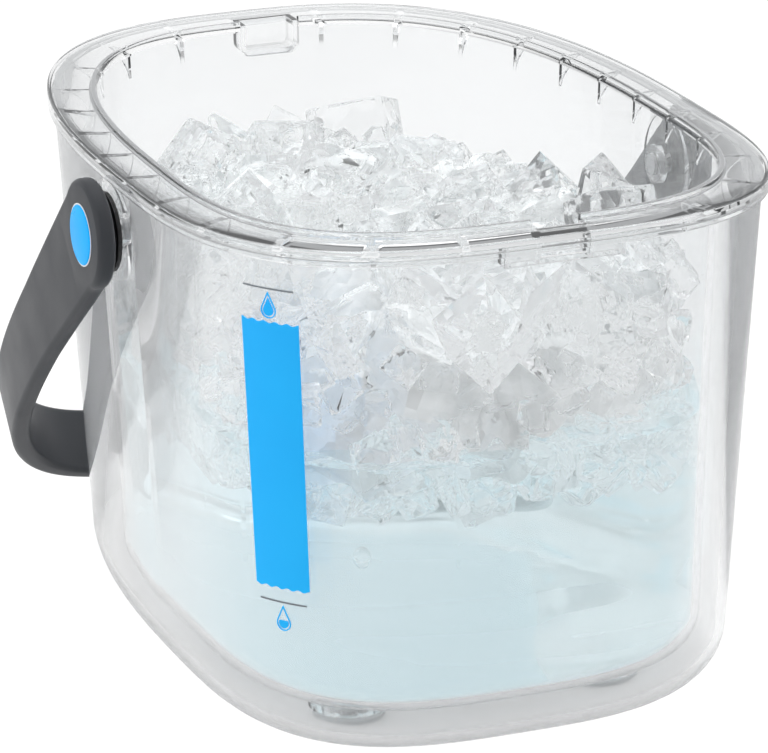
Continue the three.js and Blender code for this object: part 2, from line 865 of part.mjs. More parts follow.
// A drop: a circle with two straight sides that touch it and meet in a point above.
function level_drop(z) {
  const columns = [];
  const radius = drop_width / 2;
  const tip = drop_height - radius;
  const slope = Math.asin(radius / tip);
  const touch_x = radius * Math.cos(slope);
  const touch_z = radius * Math.sin(slope);
  for (let i = 1; i < drop_steps; i += 1) {
    const along = -radius * Math.cos((Math.PI * i) / drop_steps);
    const bulge = Math.sqrt(radius * radius - along * along);
    const side = tip - ((tip - touch_z) * Math.abs(along)) / touch_x;
    columns.push({ along, low: z - bulge, high: z + (Math.abs(along) > touch_x ? bulge : side) });
  }
  return film(columns);
}

// Materials

function finish(colour, roughness, metalness, opacity) {
  return new THREE.MeshStandardMaterial({
    color: colour,
    roughness,
    metalness,
    opacity,
    transparent: opacity < 1,
    flatShading: true,
  });
}

const finishes = {
  clear_plastic: finish(0xe6eef0, 0.05, 0, 0.3),
  grey_plastic: finish(0x58595c, 0.45, 0, 1),
  blue_plastic: finish(0x1caafa, 0.3, 0, 1),
  black_rubber: finish(0x1c1c1e, 0.7, 0, 1),
  grey_rubber: finish(0x7d8286, 0.7, 0, 1),
  white_plastic: finish(0xe9ebec, 0.4, 0, 1),
  steel: finish(0xb8bbbe, 0.3, 1, 1),
  ice: finish(0xdfe9ee, 0.08, 0, 0.5),
  water: finish(0xc5dde6, 0.03, 0, 0.4),
  blue_print: finish(0x1caafa, 0.35, 0, 1),
  grey_print: finish(0x8c9298, 0.5, 0, 1),
};

// Assembly

const machine = new THREE.Group();

function place(name, geometry, finish_name, parent = machine) {
  const mesh = new THREE.Mesh(geometry, finishes[finish_name]);
  mesh.name = name;
  parent.add(mesh);
}

place("outer_tank", outer_tank(), "clear_plastic");
place("inner_tank", inner_tank(), "clear_plastic");
place("rim_seal", rim_seal(), "grey_rubber");
place("front_catch", front_catch(), "clear_plastic");
place("rear_keeper", rear_keeper(), "clear_plastic");

foot_places().forEach(([x, y], i) => {
  place(`foot_${i + 1}`, foot(x, y), "grey_rubber");
  place(`floor_spacer_${i + 1}`, floor_spacer(x, y), "grey_rubber");
});

const swinging_handle = new THREE.Group();
machine.add(swinging_handle);
place("handle", handle(), "grey_plastic", swinging_handle);
for (const [prefix, side] of [["left", -1], ["right", 1]]) {
  place(`${prefix}_cap`, cap(side), "blue_plastic", swinging_handle);
  place(`${prefix}_bush`, bush(side), "white_plastic", swinging_handle);
  place(`${prefix}_pin`, pin(side), "steel");
  place(`${prefix}_nut`, nut(side), "steel");
  place(`${prefix}_washer`, washer(side), "black_rubber");
  place(`${prefix}_collar`, collar(side), "clear_plastic");
}

place("ice_heap", ice_heap(), "ice");
place("water", water(), "water");
place("level_strip", level_strip(), "blue_print");
place("upper_mark", level_mark(upper_mark_z), "grey_print");
place("lower_mark", level_mark(lower_mark_z), "grey_print");
place("upper_drop", level_drop(upper_drop_z), "blue_print");
place("lower_drop", level_drop(lower_drop_z), "blue_print");

export default machine;
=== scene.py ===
# Open clear reservoir of a hot cold therapy machine, with its handle, ice and water.
# Lengths are in metres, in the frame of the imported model.
import json
import random
from math import asin, ceil, copysign, cos, floor, hypot, pi, radians, sin, sqrt

import bmesh
import bpy
from mathutils import Matrix, Vector


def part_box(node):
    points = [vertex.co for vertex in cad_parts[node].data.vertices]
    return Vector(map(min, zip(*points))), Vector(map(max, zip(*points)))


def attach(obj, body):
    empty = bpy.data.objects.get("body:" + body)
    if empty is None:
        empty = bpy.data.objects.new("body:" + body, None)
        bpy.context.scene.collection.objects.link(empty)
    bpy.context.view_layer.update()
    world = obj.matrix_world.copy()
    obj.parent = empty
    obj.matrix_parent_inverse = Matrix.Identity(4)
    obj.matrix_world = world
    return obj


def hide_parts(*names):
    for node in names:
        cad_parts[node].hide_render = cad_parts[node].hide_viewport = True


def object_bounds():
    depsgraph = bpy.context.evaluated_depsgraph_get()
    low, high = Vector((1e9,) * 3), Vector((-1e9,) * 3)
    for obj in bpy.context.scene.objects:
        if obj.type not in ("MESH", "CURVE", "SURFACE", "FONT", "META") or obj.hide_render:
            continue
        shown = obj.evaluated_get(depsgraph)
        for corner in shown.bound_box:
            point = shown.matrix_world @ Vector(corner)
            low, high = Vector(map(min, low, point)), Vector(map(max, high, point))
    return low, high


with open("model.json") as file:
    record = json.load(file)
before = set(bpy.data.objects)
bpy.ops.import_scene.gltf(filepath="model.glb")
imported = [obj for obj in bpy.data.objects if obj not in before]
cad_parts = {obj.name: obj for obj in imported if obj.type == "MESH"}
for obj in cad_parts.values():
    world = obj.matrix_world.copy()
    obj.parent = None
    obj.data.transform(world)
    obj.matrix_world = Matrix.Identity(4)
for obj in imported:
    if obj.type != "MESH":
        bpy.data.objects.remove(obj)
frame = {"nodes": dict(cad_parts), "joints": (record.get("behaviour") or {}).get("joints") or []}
nodes = frame["nodes"]
scene = bpy.context.scene
cad_low, cad_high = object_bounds()

mm = 0.001
full_turn = 2 * pi
quarter_turn = pi / 2

# Sizes that the frame gives
rim_low, rim_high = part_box("inner_tank")
catch_low, catch_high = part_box("front_catch")
keeper_low, keeper_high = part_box("rear_keeper")
shell_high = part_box("outer_tank")[1]
rim_half_width = rim_high.x
rim_front_reach = -rim_low.y
rim_back_reach = rim_high.y
lip_height = 1.2 * mm
tank_height = rim_high.z - lip_height
outer_top = shell_high.z
liner_underside = rim_low.z
water_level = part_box("water")[1].z
pad_face_x = shell_high.x

# Outline of the rim, seen from above
widest_y = -25 * mm
front_squareness = 3.07
back_squareness = 2.69
outline_steps = 240
division_steps = 20 * outline_steps
normal_step = full_turn / outline_steps / outline_steps

# Meshes
merge_distance = 1e-7
crease_angle = radians(32)
corner_steps = 4
turned_steps = 72

# Outer wall
outer_wall = 2.4 * mm
outer_floor = 3 * mm
outer_inset = 1.9 * mm
outer_draft_share = 0.06
base_fillet = 21 * mm
fillet_steps = 14

# Inner wall with its flange
well_half_width = rim_half_width - 13.5 * mm
well_front_reach = rim_front_reach - 13.5 * mm
well_back_reach = rim_back_reach - 19 * mm
liner_wall = 2.2 * mm
liner_floor = 2.5 * mm
liner_draft_share = 0.04
liner_fillet = 15 * mm
flange_thickness = 2.2 * mm
skirt_thickness = 1.4 * mm
skirt_height = 5 * mm
lip_width = 1.6 * mm
edge_round = 0.7 * mm
small_round = 0.35 * mm
flange_underside = tank_height - flange_thickness

# Gussets, latch notch and keeper window
lid_line_x = (keeper_low.x + keeper_high.x) / 2
gusset_count = 28
gusset_thickness = 1.4 * mm
gusset_depth = 6.4 * mm
gusset_height = 9 * mm
gusset_bow = 0.33 * gusset_height
gusset_steps = 10
thin_wall_top = flange_underside - 2 * gusset_height
notch_width = 15 * mm
notch_depth = 5.5 * mm
notch_bottom = catch_low.z + 1.6 * mm
keeper_corner = 3 * mm
keeper_steps = 6
overrun = 1 * mm
weld = 0.5 * mm
seat_gap = 0.3 * mm

# Pivots and handle
pivot = Vector(frame["joints"][0]["pos_m"])
pad_radius = 15 * mm
pin_hole_radius = 3.5 * mm
rest_angle = radians(50)
arm_outer_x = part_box("handle")[1].x
handle_reach = 190 * mm
handle_thickness = 5.6 * mm
handle_squareness = 4.1
handle_round = 1.8 * mm
eye_radius = 16.6 * mm
arm_start_half_width = eye_radius - handle_round / 4
arm_half_width = 13 * mm
grip_half_width = 11.2 * mm
arm_end_share = 0.35
grip_start_share = 0.85
handle_steps = 150
handle_corner_steps = 5
eye_corner_steps = 6

# Caps with their pale rings, and the stepped hole behind them
cap_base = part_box("right_cap")[0].x
cap_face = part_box("right_cap")[1].x
cap_radius = 9 * mm
cap_round = 0.4 * mm
cap_corner_steps = 5
cap_recess = 0.5 * mm
ring_lift = 0.15 * mm
ring_inner_gap = 0.02 * mm
ring_outer_gap = 0.05 * mm
pin_head_radius = 6.3 * mm
bush_radius = 5.8 * mm
bush_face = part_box("right_bush")[1].x

# Feet
foot_places = [(-41 * mm, -70 * mm), (41 * mm, -70 * mm), (-41 * mm, 60 * mm), (41 * mm, 60 * mm)]
foot_hole_radius = 4.1 * mm

# Water level graphic
film_gap = 0.3 * mm
film_thickness = 0.35 * mm
graphic_angle = radians(222.3)
strip_width = 18.4 * mm
strip_bottom = 55 * mm
strip_top = 137 * mm
strip_wave = 0.3 * mm
strip_waves = 5
strip_wave_steps = 16
mark_width = 16 * mm
mark_steps = 24
mark_trim = 0.15 * mm
drop_height = 8 * mm
drop_width = 4.8 * mm
drop_steps = 48
drop_line = 0.32 * mm
drop_space = 0.45 * mm
lower_drop_fill = 0.4

# Drop of water on the front
droplet_angle = radians(236.3)
droplet_z = 67.5 * mm
droplet_half_width = 2.5 * mm
droplet_half_height = 3.2 * mm
droplet_depth = 0.9 * mm
droplet_sag = 1.15
droplet_top = 0.95
droplet_gap = 0.05 * mm
droplet_steps = 28
droplet_rings = 8

# Ice
ice_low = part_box("ice_heap")[0].z
ice_core_top = tank_height - 35 * mm
ice_seed = 11
ice_crease = radians(50)
ice_flat_angle = radians(14)
ice_bevel_share = 0.035
ice_bevel_profile = 0.6

# Fixed sequence of shares that looks irregular
irregular_pitch = 12.9898
irregular_gain = 43758.5453

# Cubes of the top layer, in the places of the solid's
ice_size = 23 * mm
ice_pitch = 26 * mm
ice_row_share = sqrt(0.75)
ice_layer_z = ice_core_top - 6 * mm
cube_lift_share = 0.6
cube_least_share = 0.85
cube_spread_share = 0.3
chip_chance = 0.45
chip_share = 0.3

# Loose lumps and shards: how many, how large, and how far apart as a share of their size
loose_ice = ((210, 19 * mm, 0.78), (520, 9 * mm, 1.0))
loose_top_share = 0.3
loose_size_range = (0.85, 1.15)
lump_points = 20
lump_half_width = (0.42, 0.58)
lump_half_height = (0.34, 0.52)
lump_roundness = 0.45
most_tries = 60000
wall_share = 0.6
wall_band_share = 1.9

# Cloudy core
core_count = 130
core_lump_size = 30 * mm
core_spacing_share = 0.6
core_top_share = 0.6
core_low_share = 0.7
core_inset = 9 * mm

# Light that has met this many surfaces, or been mirrored this often, ends in a glow of painted light
deepest_path = 9
deepest_mirror = 3
bounces = 12

# Parts of a noise's range that become a spread of roughness and of colour
roughness_span = (0.3, 0.7)
colour_span = (0.35, 0.65)
noise_detail = 3

# Clear materials: colour, roughness, index of refraction, transmission, and the colours of painted light,
# a glow in which light that went deep and light that was mirrored often end
wall_painted_ends = ((0.8, 0.82, 0.83), (0.36, 0.37, 0.38))
clear_looks = {
    "clear_plastic": ((0.965, 0.969, 0.97), 0, 1.49, 1, (0.8, 0.82, 0.83), (0.03, 0.032, 0.034)),
    "clear_outer_wall": ((0.955, 0.96, 0.964), 0, 1.32, 0.968, *wall_painted_ends),
    "clear_liner_wall": ((0.955, 0.96, 0.964), 0, 1.2, 0.968, *wall_painted_ends),
    "clear_ice": ((0.972, 0.978, 0.98), 0.02, 1.31, 0.955, (0.83, 0.85, 0.855), (0.68, 0.7, 0.71)),
    "cold_water": ((0.73, 0.875, 0.925), 0.02, 1.33, 0.9, (0.6, 0.76, 0.82), (0.52, 0.66, 0.72)),
}

# Opaque materials: colour, roughness, specular level, and the roughness's scale, least and most, then where
# there are any a change of colour's scale, dark and light, and a bump's scale, height and detail
opaque_looks = {
    "grey_satin_plastic": (
        (0.056, 0.059, 0.065), 0.42, 0.08, (60, 0.3, 0.38),
        (25, (0.052, 0.055, 0.061), (0.06, 0.063, 0.069)), (2600, 0.03 * mm, 2)),
    "blue_gloss_plastic": (
        (0.004, 0.42, 0.95), 0.3, 0.06, (90, 0.25, 0.35),
        (60, (0.003, 0.4, 0.93), (0.005, 0.44, 0.97)), None),
    "blue_print": (
        (0.004, 0.45, 0.97), 0.5, 0.25, (50, 0.45, 0.55),
        (14, (0.003, 0.42, 0.95), (0.006, 0.47, 0.99)), None),
    "grey_print": ((0.17, 0.19, 0.21), 0.5, 0.5, (90, 0.4, 0.6), None, None),
    "black_rubber": ((0.012, 0.012, 0.013), 0.5, 0.5, (200, 0.4, 0.6), None, (1500, 0.04 * mm, 3)),
    "grey_rubber": ((0.42, 0.44, 0.45), 0.6, 0.5, (150, 0.5, 0.7), None, (1500, 0.04 * mm, 3)),
    "grey_pin_plastic": ((0.4, 0.41, 0.42), 0.35, 0.5, (120, 0.3, 0.45), None, None),
    "white_plastic": ((0.78, 0.79, 0.8), 0.4, 0.5, (120, 0.35, 0.5), None, None),
}

# Haze of the rim's plastic: scale, least and most roughness
rim_haze = (40, 0, 0.012)

# Frost on the walls' rounded base
frost_heights = (0.3 * base_fillet, 1.1 * base_fillet)
frost_roughness = 0.2
frost_grain = 0.02
frost_scale = 300

# Ice and water: scale and tilt of the ice's cells, changes of colour, and a glow of painted light that
# brightens them
ice_cells = (185, 0.6)
cloudy_cells = (130, 0.9)
cloudy_colour = (0.8, 0.84, 0.86)
cloudy_roughness = 0.12
cloudy_change = (70, (0.5, 0.53, 0.54), (0.88, 0.905, 0.91))
cloudy_painted_glow = ((0.9, 0.95, 0.97), 0.12)
water_change = (13, (0.66, 0.84, 0.895), (0.74, 0.88, 0.925))
water_painted_glow = ((0.86, 1, 0.97), 0.055)
water_waves = (22, 2 * mm, 0)

# Floor: its glow, the share of it left under the tank as a painted shadow, from one squared reach to
# another, and its share of the floor's look for the camera, and for reflections and refractions
floor_size = 3
floor_colour = (0.86, 0.86, 0.86)
floor_roughness = 0.9
floor_glow = 1.08
floor_shade = 0.5
floor_shade_span = (0.35, 1.1)
floor_straight_share = 0.9
floor_turned_share = 0.5

# Painted shade: where the floor at either side starts and ends to grow dark in the plastic's reflections,
# and how dark
painted_side_shade = ((0.26, 0.38, 0.15), (-0.19, -0.3, 0.3))

# Surroundings as reflections see them: brightness by height, tint, and how the front is darker
sky_stops = ((0.18, 1), (0.34, 0.7), (0.72, 0.7), (0.85, 1))
sky_tint = (1, 1.01, 1.02)
sky_front = (-0.5, 0.2, 0.1, 1)
ambient_front = (-0.9, 0.5, 0.2, 1.3)

# Softboxes: place from the middle of the machine, width and height, power
softboxes = {
    "overhead_softbox": ((0, 0.1, 1.1), (1.2, 1.2), 5),
    "left_softbox": ((-1.1, -0.5, 0.5), (0.5, 1), 3),
    "right_softbox": ((1.2, -0.3, 0.5), (0.5, 1), 2.5),
}

well_shape = (well_half_width, well_front_reach, well_back_reach)
rim_shape = (rim_half_width, rim_front_reach, rim_back_reach)


# Outlines

def outline_point(shape, angle, inset):
    """Two half superellipses that meet at the widest station, drawn in by inset."""
    half_width, front, back = shape
    cosine = cos(angle)
    sine = sin(angle)
    squareness = back_squareness if sine > 0 else front_squareness
    reach = back - widest_y if sine > 0 else front + widest_y
    total = abs(cosine) ** squareness + abs(sine) ** squareness
    radius = total ** (-1 / squareness)
    return Vector(((half_width - inset) * radius * cosine, widest_y + (reach - inset) * radius * sine))


def outline_normal(shape, angle, inset):
    before = outline_point(shape, angle - normal_step, inset)
    along = outline_point(shape, angle + normal_step, inset) - before
    along.normalize()
    return Vector((along.y, -along.x))


def outer_wall_inset(z):
    return outer_inset + outer_draft_share * (outer_top - z)


def well_inset(z):
    return liner_draft_share * (tank_height - z)


# Meshes

def mesh_object(name, points, faces, material, sharp=crease_angle):
    mesh = bpy.data.meshes.new(name)
    mesh.from_pydata([tuple(p) for p in points], [], faces)
    mesh.validate()
    piece = bpy.data.objects.new(name, mesh)
    scene.collection.objects.link(piece)
    mesh.materials.append(material)
    smooth(piece, sharp)
    return piece


def smooth(piece, sharp=crease_angle):
    """Smooth faces with a crease wherever two faces meet at more than the sharp angle."""
    bm = bmesh.new()
    bm.from_mesh(piece.data)
    bmesh.ops.remove_doubles(bm, verts=bm.verts, dist=merge_distance)
    bmesh.ops.recalc_face_normals(bm, faces=bm.faces)
    for face in bm.faces:
        face.smooth = True
    for edge in bm.edges:
        edge.smooth = len(edge.link_faces) == 2 and edge.calc_face_angle(0) < sharp
    bm.to_mesh(piece.data)
    bm.free()


def ring_faces(rows, count, closed_rows):
    """The faces between rows of points that each close in a ring."""
    faces = []
    bands = rows if closed_rows else rows - 1
    for i in range(bands):
        lower = i * count
        upper = (i + 1) % rows * count
        for j in range(count):
            following = (j + 1) % count
            faces.append((lower + j, lower + following, upper + following, upper + j))
    return faces


def tube_faces(rows, count):
    """The faces of a tube through rows of points, with a face at either end."""
    last = (rows - 1) * count
    return ring_faces(rows, count, False) + [tuple(range(count)), tuple(range(last, last + count))]


def loft(name, rows, material):
    """A loft through outlines. Each row is a shape, an inset and a height."""
    points = []
    for shape, inset, z in rows:
        for j in range(outline_steps):
            point = outline_point(shape, full_turn * j / outline_steps, inset)
            points.append((point.x, point.y, z))
    return mesh_object(name, points, tube_faces(len(rows), outline_steps), material)


def fillet_rows(shape, wall_inset, centre_z, across, down):
    """Rows of a rounded lower edge, from the floor out to the wall."""
    rows = []
    for k in range(fillet_steps + 1):
        angle = quarter_turn * k / fillet_steps
        inset = wall_inset + across * (1 - sin(angle))
        rows.append((shape, inset, centre_z - down * cos(angle)))
    return rows


def arc(across, up, radius, start, end, steps):
    """Points of an arc round a centre, from one angle in degrees to another."""
    points = []
    for k in range(steps + 1):
        angle = radians(start + (end - start) * k / steps)
        points.append((across + radius * cos(angle), up + radius * sin(angle)))
    return points


def round_rows(shape, inset, z, radius, start, end):
    """Rows of a rounded corner: its centre is at inset and z, and angle 0 points outwards."""
    corner = arc(0, 0, radius, start, end, corner_steps)
    return [(shape, inset - across, z + up) for across, up in corner]


def turned(name, profile, material):
    """A solid of revolution about +Z from [radius, height] pairs that start and end on the axis or meet."""
    points = []
    for radius, z in profile:
        for j in range(turned_steps):
            angle = full_turn * j / turned_steps
            points.append((radius * cos(angle), radius * sin(angle), z))
    closed = profile[0] == profile[-1]
    rows = len(profile) - 1 if closed else len(profile)
    faces = ring_faces(rows, turned_steps, closed)
    return mesh_object(name, points[:rows * turned_steps], faces, material)


def turn_to_pivot(piece, side):
    """Lays a turned piece's axis along the pivot, with its heights running outwards."""
    turn = Matrix.Rotation(side * quarter_turn, 4, "Y")
    piece.data.transform(Matrix.Translation(pivot) @ turn)
    return piece


def box_piece(name, low, high, material):
    points = [(x, y, z) for z in (low[2], high[2]) for y in (low[1], high[1]) for x in (low[0], high[0])]
    faces = [(0, 2, 3, 1), (4, 5, 7, 6), (0, 1, 5, 4), (2, 6, 7, 3), (0, 4, 6, 2), (1, 3, 7, 5)]
    return mesh_object(name, points, faces, material)


def combine(piece, others, operation):
    """Joins others to the piece or cuts them out of it, and leaves a plain mesh."""
    for other in others:
        modifier = piece.modifiers.new("combine", "BOOLEAN")
        modifier.operation = operation
        modifier.solver = "EXACT"
        modifier.object = other
    bpy.context.view_layer.update()
    depsgraph = bpy.context.evaluated_depsgraph_get()
    made = bpy.data.meshes.new_from_object(piece.evaluated_get(depsgraph))
    piece.modifiers.clear()
    old = piece.data
    piece.data = made
    bpy.data.meshes.remove(old)
    for other in others:
        bpy.data.objects.remove(other)


def stand_in(piece, node, body="tank"):
    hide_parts(node)
    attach(piece, body)
    let_light_through(piece)


def let_light_through(piece):
    """Shadow and diffuse rays pass the clear pieces straight, so what lies behind them is lit."""
    if piece.data.materials[0] in (clear_plastic, outer_plastic, liner_plastic, ice, water):
        piece.visible_shadow = False
        piece.visible_diffuse = False


# Shader nodes

def set_inputs(tree, node, inputs):
    """Sets a node's inputs to values, or links them to other nodes' outputs."""
    for name, value in inputs.items():
        if isinstance(value, bpy.types.NodeSocket):
            tree.links.new(value, node.inputs[name])
        else:
            node.inputs[name].default_value = value
    return node


def add_node(tree, kind, inputs=None, operation=None):
    node = tree.nodes.new(f"ShaderNode{kind}")
    if operation:
        node.operation = operation
    return set_inputs(tree, node, inputs or {})


def calculate(tree, operation, *terms):
    return add_node(tree, "Math", dict(enumerate(terms)), operation).outputs[0]


def calculate_vector(tree, operation, inputs, output="Vector"):
    return add_node(tree, "VectorMath", inputs, operation).outputs[output]


def map_range(tree, value, start, end, low, high):
    return add_node(tree, "MapRange", {
        "Value": value, "From Min": start, "From Max": end, "To Min": low, "To Max": high,
    }).outputs["Result"]


def mix_shaders(tree, factor, first, second):
    return add_node(tree, "MixShader", {"Fac": factor, 1: first, 2: second}).outputs["Shader"]


def object_place(tree):
    return add_node(tree, "TexCoord").outputs["Object"]


def noise(tree, scale, detail=noise_detail):
    return add_node(tree, "TexNoise", {
        "Vector": object_place(tree), "Scale": scale, "Detail": detail,
    }).outputs["Fac"]


# Materials

def new_material(name, colour, roughness):
    material = bpy.data.materials.new(name)
    material.use_nodes = True
    tree = material.node_tree
    shader = tree.nodes["Principled BSDF"]
    set_inputs(tree, shader, {"Base Color": (*colour, 1), "Roughness": roughness})
    return material, tree, shader


def vary_roughness(tree, shader, scale, low, high):
    roughness = map_range(tree, noise(tree, scale), *roughness_span, low, high)
    tree.links.new(roughness, shader.inputs["Roughness"])


def vary_colour(tree, shader, scale, dark, light):
    ramp = add_node(tree, "ValToRGB", {"Fac": noise(tree, scale)})
    for element, position, colour in zip(ramp.color_ramp.elements, colour_span, (dark, light)):
        element.position = position
        element.color = (*colour, 1)
    tree.links.new(ramp.outputs["Color"], shader.inputs["Base Color"])


def add_bump(tree, shader, scale, height, detail):
    bump = add_node(tree, "Bump", {
        "Strength": 1, "Distance": height, "Height": noise(tree, scale, detail)})
    tree.links.new(bump.outputs["Normal"], shader.inputs["Normal"])


# Painted light: a glow that brightens a part that is no lamp
def add_painted_glow(tree, shader, colour, strength):
    set_inputs(tree, shader, {"Emission Color": (*colour, 1), "Emission Strength": strength})


def clear_material(name):
    """Light that has met many clear surfaces ends here in a glow: painted light in the colour the rest of
    its way would give.
    """
    colour, roughness, ior, transmission, painted_deep_colour, painted_mirror_colour = clear_looks[name]
    material, tree, shader = new_material(name, colour, roughness)
    set_inputs(tree, shader, {"IOR": ior, "Transmission Weight": transmission})
    path = add_node(tree, "LightPath").outputs
    last = shader.outputs["BSDF"]
    # Painted light: a glow ends the light past these depths; often mirrored light ends in a painted
    # reflection
    ends = (("Ray Depth", deepest_path, painted_deep_colour), ("Glossy Depth", deepest_mirror, painted_mirror_colour))
    for depth, limit, painted_end_colour in ends:
        deep = calculate(tree, "GREATER_THAN", path[depth], limit)
        glow = add_node(tree, "Emission", {"Color": (*painted_end_colour, 1)})
        last = mix_shaders(tree, deep, last, glow.outputs["Emission"])
    tree.links.new(last, tree.nodes["Material Output"].inputs["Surface"])
    material.cycles.emission_sampling = "NONE"
    return material, tree, shader


def opaque_material(name):
    colour, roughness, specular, grain, change, bump = opaque_looks[name]
    material, tree, shader = new_material(name, colour, roughness)
    shader.inputs["Specular IOR Level"].default_value = specular
    vary_roughness(tree, shader, *grain)
    if change:
        vary_colour(tree, shader, *change)
    if bump:
        add_bump(tree, shader, *bump)
    return material


def tilt_by_cells(tree, shader, scale, tilt):
    """Tilts the surface a little, cell by cell, as the faces of cracked ice lie."""
    cells = add_node(tree, "TexVoronoi", {"Vector": object_place(tree), "Scale": scale})
    centred = calculate_vector(tree, "SUBTRACT", {0: cells.outputs["Color"], 1: (0.5, 0.5, 0.5)})
    scaled = calculate_vector(tree, "SCALE", {0: centred, "Scale": tilt})
    normal = add_node(tree, "NewGeometry").outputs["Normal"]
    total = calculate_vector(tree, "ADD", {0: scaled, 1: normal})
    tree.links.new(calculate_vector(tree, "NORMALIZE", {0: total}), shader.inputs["Normal"])


def make_clear_plastic():
    """The thick polished mouldings of the rim."""
    material, tree, shader = clear_material("clear_plastic")
    vary_roughness(tree, shader, *rim_haze)
    return material


def make_clear_wall(name):
    """A thin side wall, which mirrors little: polished, and finely frosted at its rounded base."""
    material, tree, shader = clear_material(name)
    height = add_node(tree, "SeparateXYZ", {"Vector": object_place(tree)}).outputs["Z"]
    frost = map_range(tree, height, *frost_heights, frost_roughness, 0)
    grain = calculate(tree, "MULTIPLY_ADD", noise(tree, frost_scale), frost_grain, frost)
    polished = calculate(tree, "SUBTRACT", grain, frost_grain)
    polished.node.use_clamp = True
    tree.links.new(polished, shader.inputs["Roughness"])
    return material


def make_ice():
    material, tree, shader = clear_material("clear_ice")
    tilt_by_cells(tree, shader, *ice_cells)
    return material


def make_cloudy_ice():
    """The frozen heart of the heap, white with trapped air."""
    material, tree, shader = new_material("cloudy_ice", cloudy_colour, cloudy_roughness)
    vary_colour(tree, shader, *cloudy_change)
    tilt_by_cells(tree, shader, *cloudy_cells)
    # Painted light: the glow lifts the core as light scattered inside it would
    add_painted_glow(tree, shader, *cloudy_painted_glow)
    material.cycles.emission_sampling = "NONE"
    return material


def make_water():
    material, tree, shader = clear_material("cold_water")
    vary_colour(tree, shader, *water_change)
    # Painted light: a glow keeps the water bright
    add_painted_glow(tree, shader, *water_painted_glow)
    add_bump(tree, shader, *water_waves)
    return material


clear_plastic = make_clear_plastic()
outer_plastic = make_clear_wall("clear_outer_wall")
liner_plastic = make_clear_wall("clear_liner_wall")
ice = make_ice()
cloudy_ice = make_cloudy_ice()
water = make_water()
handle_plastic = opaque_material("grey_satin_plastic")
blue_plastic = opaque_material("blue_gloss_plastic")
blue_print = opaque_material("blue_print")
grey_print = opaque_material("grey_print")
black_rubber = opaque_material("black_rubber")
grey_rubber = opaque_material("grey_rubber")
grey_plastic = opaque_material("grey_pin_plastic")
white_plastic = opaque_material("white_plastic")


# Clear shells

def disc(name, radius, low, high):
    return turned(name, [(0, low), (radius, low), (radius, high), (0, high)], clear_plastic)


def give_walls(piece, top, material):
    """Gives the faces that start under a height the material of a side wall."""
    mesh = piece.data
    mesh.materials.clear()
    mesh.materials.append(material)
    mesh.materials.append(clear_plastic)
    for face in mesh.polygons:
        lowest = min(mesh.vertices[i].co.z for i in face.vertices)
        face.material_index = 0 if lowest < top else 1


def build_outer_tank():
    side_inset = outer_wall_inset(base_fillet)
    outside = fillet_rows(rim_shape, side_inset, base_fillet, base_fillet, base_fillet)
    inside = fillet_rows(
        rim_shape, side_inset + outer_wall, base_fillet, base_fillet - outer_wall, base_fillet - outer_floor)
    corner_z = outer_top - small_round
    top = round_rows(rim_shape, outer_inset + small_round, corner_z, small_round, 0, 90)
    top += round_rows(rim_shape, outer_inset + outer_wall - small_round, corner_z, small_round, 90, 180)
    shell = loft("clear_outer_tank", outside + top + inside[::-1], clear_plastic)
    inner_face = rim_half_width - outer_wall_inset(pivot.z) - outer_wall
    pads = [turn_to_pivot(disc("pad", pad_radius, inner_face + weld, pad_face_x), side) for side in (-1, 1)]
    combine(shell, pads, "UNION")
    bores = [
        turn_to_pivot(disc("bore", pin_hole_radius, well_half_width, pad_face_x + overrun), side)
        for side in (-1, 1)
    ]
    for x, y in foot_places:
        hole = disc("hole", foot_hole_radius, -overrun, outer_floor + overrun)
        hole.data.transform(Matrix.Translation((x, y, 0)))
        bores.append(hole)
    combine(shell, bores, "DIFFERENCE")
    smooth(shell)
    give_walls(shell, tank_height, outer_plastic)
    stand_in(shell, "outer_tank")


def gusset_mesh(name, angle):
    """A curved fin between the liner's wall and the flange."""
    inset = well_inset(flange_underside) - liner_wall
    foot = outline_point(well_shape, angle, inset)
    normal = outline_normal(well_shape, angle, inset)
    along = Vector((-normal.y, normal.x))
    profile = [(-weld, weld), (-weld, -gusset_height)]
    for k in range(1, gusset_steps + 1):
        share = k / gusset_steps
        out = share * share * gusset_depth - (1 - share) ** 2 * weld
        down = -(1 - share) ** 2 * gusset_height - 2 * share * (1 - share) * gusset_bow
        profile.append((out, down))
    profile.append((gusset_depth, weld))
    points = []
    for side in (-0.5, 0.5):
        for out, up in profile:
            base = foot + normal * out + along * (side * gusset_thickness)
            points.append((base.x, base.y, flange_underside + up))
    count = len(profile)
    faces = [tuple(range(count)), tuple(range(count, 2 * count))] + ring_faces(2, count, False)
    return mesh_object(name, points, faces, clear_plastic)


def gusset_angles():
    """Angles that divide the well's outline evenly, less those that would meet the latch or the keeper."""
    angles = [quarter_turn + full_turn * i / division_steps for i in range(division_steps + 1)]
    places = [outline_point(well_shape, angle, 0) for angle in angles]
    lengths = [0.0]
    for last, here in zip(places, places[1:]):
        lengths.append(lengths[-1] + (here - last).length)
    kept = []
    i = 0
    for k in range(gusset_count):
        while lengths[i] < lengths[-1] * k / gusset_count:
            i += 1
        low, high = (keeper_low, keeper_high) if places[i].y > widest_y else (catch_low, catch_high)
        if abs(places[i].x - lid_line_x) > (high.x - low.x) / 2 + 2 * gusset_thickness:
            kept.append(angles[i])
    return kept


def pocket_block(name, low, high, corner):
    """A block between two corners, with its two lower edges rounded when seen from the front."""
    outline = [(high.x, high.z), (low.x, high.z)]
    for x, start in ((low.x + corner, 180), (high.x - corner, 270)):
        outline += arc(x, low.z + corner, corner, start, start + 90, keeper_steps)
    points = [(x, y, z) for y in (low.y, high.y) for x, z in outline]
    count = len(outline)
    faces = [tuple(range(count)), tuple(range(count, 2 * count))] + ring_faces(2, count, False)
    return mesh_object(name, points, faces, clear_plastic)


